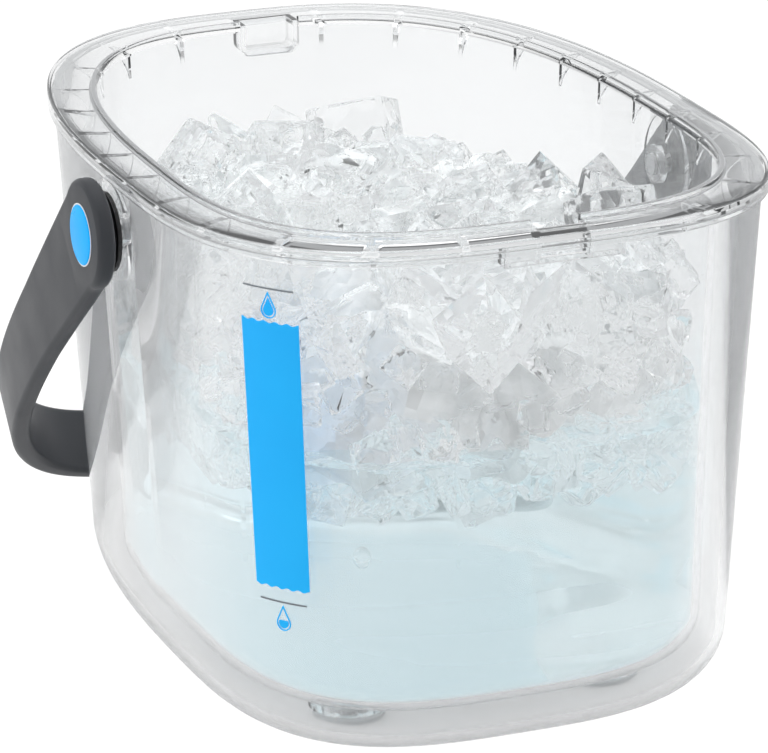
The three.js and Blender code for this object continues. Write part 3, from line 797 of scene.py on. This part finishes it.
def build_inner_tank():
    centre_z = liner_underside + liner_fillet
    side_inset = well_inset(centre_z)
    outside = fillet_rows(well_shape, side_inset - liner_wall, centre_z, liner_fillet, liner_fillet)
    inside = fillet_rows(
        well_shape, side_inset, centre_z, liner_fillet - liner_wall, liner_fillet - liner_floor)
    flange_inset = well_inset(flange_underside)
    skirt_low = tank_height - skirt_height + small_round
    lip_top = tank_height + lip_height
    rim = [
        (well_shape, flange_inset - liner_wall, flange_underside),
        (rim_shape, skirt_thickness, flange_underside),
        (rim_shape, skirt_thickness, skirt_low),
    ]
    rim += round_rows(rim_shape, skirt_thickness - small_round, skirt_low, small_round, 180, 270)
    rim += round_rows(rim_shape, small_round, skirt_low, small_round, 270, 360)
    rim += round_rows(rim_shape, edge_round, tank_height - edge_round, edge_round, 0, 90)
    rim += [(well_shape, -lip_width, tank_height)]
    rim += round_rows(well_shape, small_round - lip_width, lip_top - small_round, small_round, 0, 90)
    rim += round_rows(well_shape, -small_round, lip_top - small_round, small_round, 90, 180)
    rim += [(well_shape, well_inset(flange_underside), flange_underside)]
    shell = loft("clear_inner_tank", outside + rim + inside[::-1], clear_plastic)
    fins = [gusset_mesh("fin", angle) for angle in gusset_angles()]
    combine(shell, fins, "UNION")
    notch = box_piece(
        "notch",
        (lid_line_x - notch_width / 2, -well_front_reach - notch_depth, notch_bottom),
        (lid_line_x + notch_width / 2, -well_front_reach + liner_fillet, lip_top + overrun),
        clear_plastic)
    window_low = Vector((keeper_low.x - seat_gap, well_back_reach - liner_fillet, keeper_low.z - seat_gap))
    window_high = Vector((keeper_high.x + seat_gap, keeper_high.y + seat_gap, lip_top + overrun))
    window = pocket_block("window", window_low, window_high, keeper_corner + seat_gap)
    combine(shell, [notch, window], "DIFFERENCE")
    smooth(shell)
    give_walls(shell, thin_wall_top, liner_plastic)
    stand_in(shell, "inner_tank")


# Handle

def handle_half_width(distance):
    """Half of the bail's width at a distance from the pivots."""
    share = min(distance / handle_reach, 1)
    if share < arm_end_share:
        along = share / arm_end_share
        return arm_start_half_width + (arm_half_width - arm_start_half_width) * along
    along = min((share - arm_end_share) / (grip_start_share - arm_end_share), 1)
    return arm_half_width + (grip_half_width - arm_half_width) * along


def bow_point(angle, depth):
    """A point of the bail's bow: half a superellipse with its ends at the pivots."""
    cosine = cos(angle)
    sine = sin(angle)
    total = abs(cosine) ** handle_squareness + abs(sine) ** handle_squareness
    radius = total ** (-1 / handle_squareness)
    return (arm_outer_x - depth) * radius * cosine, (handle_reach - depth) * radius * sine


def section_points(half_width):
    """The rounded section of the bail as pairs of a depth from its outside and a width."""
    points = []
    for quarter, (far, side) in enumerate(((True, 1), (False, 1), (False, -1), (True, -1))):
        depth = handle_thickness - handle_round if far else handle_round
        width = side * (half_width - handle_round)
        points += arc(depth, width, handle_round, 90 * quarter, 90 * quarter + 90, handle_corner_steps)
    return points


def build_handle():
    points = []
    count = len(section_points(grip_half_width))
    arms = Vector((0, sin(rest_angle), -cos(rest_angle)))
    across = Vector((1, 0, 0))
    band = across.cross(arms)
    for i in range(handle_steps + 1):
        angle = pi * i / handle_steps
        distance = bow_point(angle, 0)[1]
        for depth, width in section_points(handle_half_width(distance)):
            x, y = bow_point(angle, depth)
            points.append(pivot + across * x + arms * y + band * width)
    bail = mesh_object("satin_handle", points, tube_faces(handle_steps + 1, count), handle_plastic)
    arm_inner_x = arm_outer_x - handle_thickness
    corner = eye_radius - handle_round
    profile = [(0, arm_inner_x)]
    profile += arc(corner, arm_inner_x + handle_round, handle_round, -90, 0, eye_corner_steps)
    profile += arc(corner, arm_outer_x - handle_round, handle_round, 0, 90, eye_corner_steps)
    profile.append((0, arm_outer_x))
    eyes = [turn_to_pivot(turned("eye", profile, handle_plastic), side) for side in (-1, 1)]
    combine(bail, eyes, "UNION")
    cuts = []
    for side in (-1, 1):
        for radius, low, high in (
            (cap_radius + cap_recess, cap_base - seat_gap, cap_face + overrun),
            (pin_head_radius, bush_face, cap_base),
            (bush_radius, arm_inner_x - overrun, bush_face + overrun),
        ):
            cuts.append(turn_to_pivot(disc("cut", radius, low, high), side))
    combine(bail, cuts, "DIFFERENCE")
    smooth(bail)
    stand_in(bail, "handle", "bail")


def build_cap(side, node):
    """A cap and the pale ring that frames it."""
    profile = [(0, cap_base), (cap_radius, cap_base)]
    profile += arc(cap_radius - cap_round, cap_face - cap_round, cap_round, 0, 90, cap_corner_steps)
    profile.append((0, cap_face))
    stand_in(turn_to_pivot(turned(f"blue_{node}", profile, blue_plastic), side), node, "bail")
    high = arm_outer_x + ring_lift
    inner = cap_radius + ring_inner_gap
    outer = cap_radius + cap_recess - ring_outer_gap
    profile = [(inner, cap_base), (outer, cap_base), (outer, high), (inner, high), (inner, cap_base)]
    rim = turn_to_pivot(turned(f"{node}_rim", profile, white_plastic), side)
    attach(rim, "bail")


# Contents

def soften(bm, size):
    """Merges nearly level faces and rounds the edges."""
    bmesh.ops.dissolve_limit(bm, angle_limit=ice_flat_angle, verts=bm.verts, edges=bm.edges)
    bmesh.ops.bevel(
        bm, geom=list(bm.edges), offset=size * ice_bevel_share, offset_type="OFFSET", segments=2,
        profile=ice_bevel_profile, affect="EDGES", clamp_overlap=True)


def wrap(bm):
    """Wraps the loose points in their convex hull."""
    hull = bmesh.ops.convex_hull(bm, input=bm.verts)
    inner = [part for part in hull["geom_interior"] if isinstance(part, bmesh.types.BMVert)]
    bmesh.ops.delete(bm, geom=inner, context="VERTS")


def ice_lump(rng, size, centre):
    """An angular lump: the hull of points scattered near the faces of a turned box."""
    bm = bmesh.new()
    ranges = (lump_half_width, lump_half_width, lump_half_height)
    half = Vector([rng.uniform(low, high) for low, high in ranges]) * size
    for _ in range(lump_points):
        point = Vector([rng.uniform(-1, 1) for _ in range(3)])
        point /= max(abs(c) for c in point)
        for axis in range(3):
            point[axis] = copysign(abs(point[axis]) ** lump_roundness, point[axis]) * half[axis]
        bm.verts.new(point)
    wrap(bm)
    soften(bm, size)
    axis = Vector([rng.uniform(-1, 1) for _ in range(3)]).normalized()
    turn = Matrix.Rotation(rng.uniform(0, full_turn), 4, axis)
    bm.transform(Matrix.Translation(centre) @ turn)
    return bm


def irregular(seed):
    """A share from 0 to 1 of a fixed sequence that looks irregular."""
    value = sin(seed * irregular_pitch) * irregular_gain
    return value - floor(value)


def top_cube(x, y, z, side, seed):
    """A tilted cube of the heap's top layer, with chipped corners."""
    bm = bmesh.new()
    turn = Matrix.Identity(4)
    for k, axis in enumerate("XYZ", 1):
        turn @= Matrix.Rotation(irregular(seed + k / 10) * pi, 4, axis)
    corners = [(i, j, k) for i in (-1, 1) for j in (-1, 1) for k in (-1, 1)]
    for corner, signs in enumerate(corners, 1):
        place = Vector(signs) * (side / 2)
        chipped = [axis for axis in range(3) if irregular(seed + corner + axis / 3) < chip_chance]
        for axis in chipped:
            chip = place.copy()
            chip[axis] *= 1 - chip_share * irregular(seed + 2 * corner + axis)
            bm.verts.new(chip)
        if not chipped:
            bm.verts.new(place)
    wrap(bm)
    soften(bm, side)
    bm.transform(Matrix.Translation((x, y, z)) @ turn)
    return bm


def top_layer():
    """The cubes that stand out of the heap's core, in the same places as the solid's."""
    cubes = []
    row_pitch = ice_pitch * ice_row_share
    columns = ceil(well_half_width / ice_pitch)
    rows = ceil((well_front_reach + well_back_reach) / (2 * row_pitch))
    for j in range(-rows, rows + 1):
        for i in range(-columns, columns + 1):
            seed = 1 + (j + rows) * (2 * columns + 1) + i + columns
            x = i * ice_pitch + abs(j) % 2 * ice_pitch / 2
            y = j * row_pitch
            if hypot(x / well_half_width, y / well_front_reach) < 1:
                lift = ice_size * cube_lift_share * (irregular(seed) - 0.5)
                side = ice_size * (cube_least_share + cube_spread_share * irregular(seed + 0.5))
                cubes.append(top_cube(x, y, ice_layer_z + lift, side, seed))
    return cubes


def well_reach(x, y, z, margin):
    """Under 1 inside the liner's wall, less the margin."""
    inset = well_inset(z) + margin
    reach = well_back_reach - widest_y if y > widest_y else well_front_reach + widest_y
    squareness = back_squareness if y > widest_y else front_squareness
    across = abs(x) / (well_half_width - inset)
    along = abs(y - widest_y) / (reach - inset)
    return (across ** squareness + along ** squareness) ** (1 / squareness)


def scatter(rng, count, size, least, low, high, rings):
    """Places in the well between two heights, and where rings is set near its wall or top."""
    places = []
    tries = 0
    while len(places) < count and tries < most_tries:
        tries += 1
        x = rng.uniform(-well_half_width, well_half_width)
        y = rng.uniform(-well_front_reach, well_back_reach)
        z = rng.uniform(low, high)
        if well_reach(x, y, z, size * wall_share) > 1:
            continue
        if rings and well_reach(x, y, z, size * wall_band_share) < 1 and z < high - size:
            continue
        here = Vector((x, y, z))
        if all((here - other).length > least for other in places):
            places.append(here)
    return places


def join_lumps(name, lumps, material):
    points = []
    faces = []
    for lump in lumps:
        start = len(points)
        lump.verts.ensure_lookup_table()
        points.extend(v.co.copy() for v in lump.verts)
        faces.extend(tuple(start + v.index for v in face.verts) for face in lump.faces)
        lump.free()
    return mesh_object(name, points, faces, material, ice_crease)


def keep_in_well(piece, margin):
    """Moves the points that reach past the liner's wall back inside it."""
    for vertex in piece.data.vertices:
        x, y, z = vertex.co
        share = well_reach(x, y, z, margin)
        if share > 1:
            vertex.co.x = x / share
            vertex.co.y = widest_y + (y - widest_y) / share


def build_ice():
    rng = random.Random(ice_seed)
    lumps = top_layer()
    for count, size, spacing in loose_ice:
        top = ice_core_top - size * loose_top_share
        for centre in scatter(rng, count, size, size * spacing, ice_low + size / 2, top, True):
            lumps.append(ice_lump(rng, size * rng.uniform(*loose_size_range), centre))
    heap = join_lumps("ice_lumps", lumps, ice)
    keep_in_well(heap, 2 * seat_gap)
    stand_in(heap, "ice_heap")
    size = core_lump_size
    low = ice_low + size * core_low_share
    top = ice_core_top - size * core_top_share
    centres = scatter(rng, core_count, size, size * core_spacing_share, low, top, False)
    core = join_lumps("ice_core", [ice_lump(rng, size, centre) for centre in centres], cloudy_ice)
    keep_in_well(core, core_inset)
    stand_in(core, "ice_heap")


def build_water():
    gap = seat_gap / 2
    centre_z = liner_underside + liner_fillet
    rows = fillet_rows(
        well_shape, well_inset(centre_z) + gap, centre_z, liner_fillet - liner_wall,
        liner_fillet - liner_floor - gap)
    rows.append((well_shape, well_inset(water_level) + gap, water_level))
    stand_in(loft("cold_water", rows, water), "water")


# Water level graphic

def film(name, columns, material, below=0, above=film_thickness):
    """A thin film on the outer wall. Each column is a distance along it, a low and a high."""
    inset = outer_wall_inset((strip_bottom + strip_top) / 2)
    here = outline_point(rim_shape, graphic_angle, inset)
    beside = outline_point(rim_shape, graphic_angle + normal_step, inset)
    length_per_angle = (beside - here).length / normal_step
    points = []
    for along, low, high in columns:
        angle = graphic_angle + along / length_per_angle
        for z, stand_off in ((low, below), (low, above), (high, above), (high, below)):
            wall = outer_wall_inset(z)
            place = outline_point(rim_shape, angle, wall)
            out = outline_normal(rim_shape, angle, wall) * (film_gap + stand_off)
            points.append((place.x + out.x, place.y + out.y, z))
    return mesh_object(name, points, tube_faces(len(columns), 4), material)


def build_strip():
    columns = []
    count = strip_waves * strip_wave_steps
    for i in range(count + 1):
        wave = strip_wave * cos(full_turn * strip_waves * i / count)
        columns.append((strip_width * (i / count - 0.5), strip_bottom + wave, strip_top + wave))
    stand_in(film("blue_level_strip", columns, blue_print), "level_strip")


def drop_edges(along, grow, z):
    """The lowest and highest point of a drop's outline, drawn in by -grow, at a distance along."""
    radius = drop_width / 2 + grow
    tip = (drop_height - drop_width / 2) * radius / (drop_width / 2)
    slope = asin(radius / tip)
    touch_x = radius * cos(slope)
    touch_z = radius * sin(slope)
    bulge = sqrt(max(radius * radius - along * along, 0))
    if abs(along) > touch_x:
        return z - bulge, z + bulge
    return z - bulge, z + tip - (tip - touch_z) * abs(along) / touch_x


def drop_columns(grow, z):
    radius = drop_width / 2 + grow
    columns = []
    for i in range(1, drop_steps):
        along = -radius * cos(pi * i / drop_steps)
        columns.append((along, *drop_edges(along, grow, z)))
    return columns


def build_drop(node, fill_share):
    """A drop's ring-shaped outline and its fill, which reaches up to a share of its height."""
    low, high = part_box(node)
    z = low.z + drop_width / 2
    ring = film(f"{node}_outline", drop_columns(0, z), blue_print)
    hole = film("hole", drop_columns(-drop_line, z), blue_print, -film_thickness, 2 * film_thickness)
    combine(ring, [hole], "DIFFERENCE")
    smooth(ring)
    stand_in(ring, node)
    columns = []
    fill_top = low.z + (high.z - low.z) * fill_share
    for along, column_low, column_high in drop_columns(-drop_line - drop_space, z):
        if column_low < fill_top:
            columns.append((along, column_low, min(column_high, fill_top)))
    fill = film(f"{node}_fill", columns, blue_print)
    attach(fill, "tank")


def build_mark(node):
    low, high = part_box(node)
    columns = []
    for i in range(mark_steps + 1):
        columns.append((mark_width * (i / mark_steps - 0.5), low.z + mark_trim, high.z))
    stand_in(film(f"grey_{node}", columns, grey_print), node)


def build_droplet():
    """A drop of water that hangs on the outer wall."""
    inset = outer_wall_inset(droplet_z)
    place = outline_point(rim_shape, droplet_angle, inset)
    normal = outline_normal(rim_shape, droplet_angle, inset)
    centre = Vector((place.x, place.y, droplet_z))
    out = Vector((normal.x, normal.y, 0))
    along = Vector((-normal.y, normal.x, 0))
    up = Vector((0, 0, 1))
    points = []
    for i in range(droplet_rings):
        angle = quarter_turn * i / droplet_rings
        for j in range(droplet_steps):
            turn = full_turn * j / droplet_steps
            wide = droplet_half_width * cos(angle) * cos(turn)
            tall = droplet_half_height * cos(angle) * sin(turn)
            tall *= droplet_sag if tall < 0 else droplet_top
            deep = droplet_depth * sin(angle) + droplet_gap
            points.append(centre + along * wide + up * tall + out * deep)
    points.append(centre + out * (droplet_depth + droplet_gap))
    tip = droplet_rings * droplet_steps
    start = tip - droplet_steps
    faces = ring_faces(droplet_rings, droplet_steps, False)
    faces += [(start + j, start + (j + 1) % droplet_steps, tip) for j in range(droplet_steps)]
    faces.append(tuple(range(droplet_steps)))
    droplet = mesh_object("water_droplet", points, faces, clear_plastic)
    let_light_through(droplet)
    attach(droplet, "tank")


# Assembly

build_outer_tank()
build_inner_tank()
build_handle()
build_cap(-1, "left_cap")
build_cap(1, "right_cap")
build_ice()
build_water()
build_strip()
build_drop("upper_drop", 1)
build_drop("lower_drop", lower_drop_fill)
build_mark("upper_mark")
build_mark("lower_mark")
build_droplet()

node_materials = {"rim_seal": clear_plastic, "front_catch": clear_plastic, "rear_keeper": clear_plastic}
for prefix in ("left", "right"):
    node_materials[f"{prefix}_collar"] = clear_plastic
    node_materials[f"{prefix}_washer"] = black_rubber
    node_materials[f"{prefix}_bush"] = white_plastic
    node_materials[f"{prefix}_pin"] = grey_plastic
    node_materials[f"{prefix}_nut"] = clear_plastic
for i in range(1, len(foot_places) + 1):
    node_materials[f"foot_{i}"] = grey_rubber
    node_materials[f"floor_spacer_{i}"] = clear_plastic
for name, material in node_materials.items():
    nodes[name].data.materials.clear()
    nodes[name].data.materials.append(material)
    let_light_through(nodes[name])


# Stage and light

def floor_strength(tree):
    """Seen through the tank, the floor glows less where the tank stands on it, a painted shadow, and at its
    sides.
    """
    place = object_place(tree)
    middle_y = (rim_back_reach - rim_front_reach) / 2
    half_length = (rim_back_reach + rim_front_reach) / 2
    mapping = add_node(tree, "Mapping")
    mapping.vector_type = "TEXTURE"
    set_inputs(tree, mapping, {
        "Vector": place, "Location": (0, middle_y, cad_low.z), "Scale": (rim_half_width, half_length, 1)})
    share = mapping.outputs["Vector"]
    squared = calculate_vector(tree, "MULTIPLY", {0: share, 1: share})
    distance = calculate_vector(tree, "DOT_PRODUCT", {0: squared, 1: squared}, "Value")
    # Painted shadow: the glow is lower under the tank
    strength = map_range(tree, distance, *floor_shade_span, floor_glow * floor_shade, floor_glow)
    x = add_node(tree, "SeparateXYZ", {"Vector": place}).outputs["X"]
    # Painted shade at either side, which darkens the plastic's reflections
    for start, end, least in painted_side_shade:
        strength = calculate(tree, "MULTIPLY", strength, map_range(tree, x, start, end, 1, least))
    seen = add_node(tree, "LightPath").outputs["Is Camera Ray"]
    either = add_node(tree, "Mix", {"Factor": seen, "A": strength, "B": floor_glow})
    return either.outputs["Result"]


def build_floor():
    low = cad_low.z
    corners = [(x * floor_size, y * floor_size, low) for x, y in ((-1, -1), (1, -1), (1, 1), (-1, 1))]
    material, tree, shader = new_material("pale_floor", floor_colour, floor_roughness)
    glow = add_node(tree, "Emission", {"Color": (1, 1, 1, 1), "Strength": floor_strength(tree)})
    path = add_node(tree, "LightPath").outputs
    turned_rays = calculate(tree, "MAXIMUM", path["Is Glossy Ray"], path["Is Transmission Ray"])
    turned_rays = calculate(tree, "MULTIPLY", turned_rays, floor_turned_share)
    straight_rays = calculate(tree, "MULTIPLY", path["Is Camera Ray"], floor_straight_share)
    factor = calculate(tree, "MAXIMUM", straight_rays, turned_rays)
    both = mix_shaders(tree, factor, shader.outputs["BSDF"], glow.outputs["Emission"])
    tree.links.new(both, tree.nodes["Material Output"].inputs["Surface"])
    material.cycles.emission_sampling = "NONE"
    mesh_object("floor", corners, [(0, 1, 2, 3)], material)


def build_world():
    world = bpy.data.worlds.new("studio")
    scene.world = world
    world.use_nodes = True
    tree = world.node_tree
    tree.nodes.clear()
    path = add_node(tree, "LightPath").outputs
    direction = add_node(tree, "TexCoord").outputs["Generated"]
    split = add_node(tree, "SeparateXYZ", {"Vector": direction}).outputs
    sky = add_node(tree, "ValToRGB", {"Fac": split["Z"]})
    elements = sky.color_ramp.elements
    while len(elements) < len(sky_stops):
        elements.new(0.5)
    for element, (position, brightness) in zip(list(elements), sky_stops):
        element.position = position
        element.color = (*(brightness * tint for tint in sky_tint), 1)
    shaded = add_node(tree, "Mix")
    shaded.data_type = "RGBA"
    shaded.blend_type = "MULTIPLY"
    set_inputs(tree, shaded, {
        "Factor": 1, 6: sky.outputs["Color"], 7: map_range(tree, split["Y"], *sky_front)})
    white = (1, 1, 1, 1)
    brightness = map_range(tree, split["Y"], *ambient_front)
    seen = add_node(tree, "Background", {"Color": white})
    mirrored = add_node(tree, "Background", {"Color": shaded.outputs[2]})
    ambient = add_node(tree, "Background", {"Color": white, "Strength": brightness})
    turned_rays = calculate(tree, "MAXIMUM", path["Is Glossy Ray"], path["Is Transmission Ray"])
    around = mix_shaders(tree, turned_rays, ambient.outputs["Background"], mirrored.outputs["Background"])
    surface = mix_shaders(tree, path["Is Camera Ray"], around, seen.outputs["Background"])
    add_node(tree, "OutputWorld", {"Surface": surface})


def build_lights():
    middle = (cad_low + cad_high) / 2
    for name, (place, (width, height), power) in softboxes.items():
        data = bpy.data.lights.new(name, "AREA")
        data.shape = "RECTANGLE"
        data.size = width
        data.size_y = height
        data.energy = power
        lamp = bpy.data.objects.new(name, data)
        scene.collection.objects.link(lamp)
        lamp.location = middle + Vector(place)
        lamp.rotation_mode = "QUATERNION"
        lamp.rotation_quaternion = (middle - lamp.location).to_track_quat("-Z", "Y")


def build_camera():
    azimuth = radians(21.5907)
    elevation = radians(19.3949)
    roll = radians(-0.4578)
    distance = 1.63411
    target = Vector((0, -0.00992, 0.0684))
    image_width = 768
    image_height = 753
    focal_pixels = 5362.64
    centre_pixel = (399.63, 418.71)
    back = Vector((
        -sin(azimuth) * cos(elevation),
        -cos(azimuth) * cos(elevation),
        sin(elevation)))
    level = Vector((cos(azimuth), -sin(azimuth), 0))
    upright = back.cross(level)
    right = level * cos(roll) + upright * sin(roll)
    up = upright * cos(roll) - level * sin(roll)
    data = bpy.data.cameras.new("camera")
    data.sensor_width = 36
    data.lens = focal_pixels / image_width * data.sensor_width
    data.shift_x = (image_width / 2 - centre_pixel[0]) / image_width
    data.shift_y = (centre_pixel[1] - image_height / 2) / image_width
    data.clip_end = 20
    camera = bpy.data.objects.new("camera", data)
    scene.collection.objects.link(camera)
    turn = Matrix((right, up, back)).transposed().to_4x4()
    camera.matrix_world = Matrix.Translation(target + back * distance) @ turn
    scene.camera = camera


build_floor()
build_world()
build_lights()
build_camera()
scene.view_settings.view_transform = "Standard"
scene.cycles.max_bounces = bounces
scene.cycles.transmission_bounces = bounces
scene.cycles.glossy_bounces = bounces
scene.cycles.diffuse_bounces = 2
scene.cycles.caustics_reflective = False
scene.cycles.caustics_refractive = False
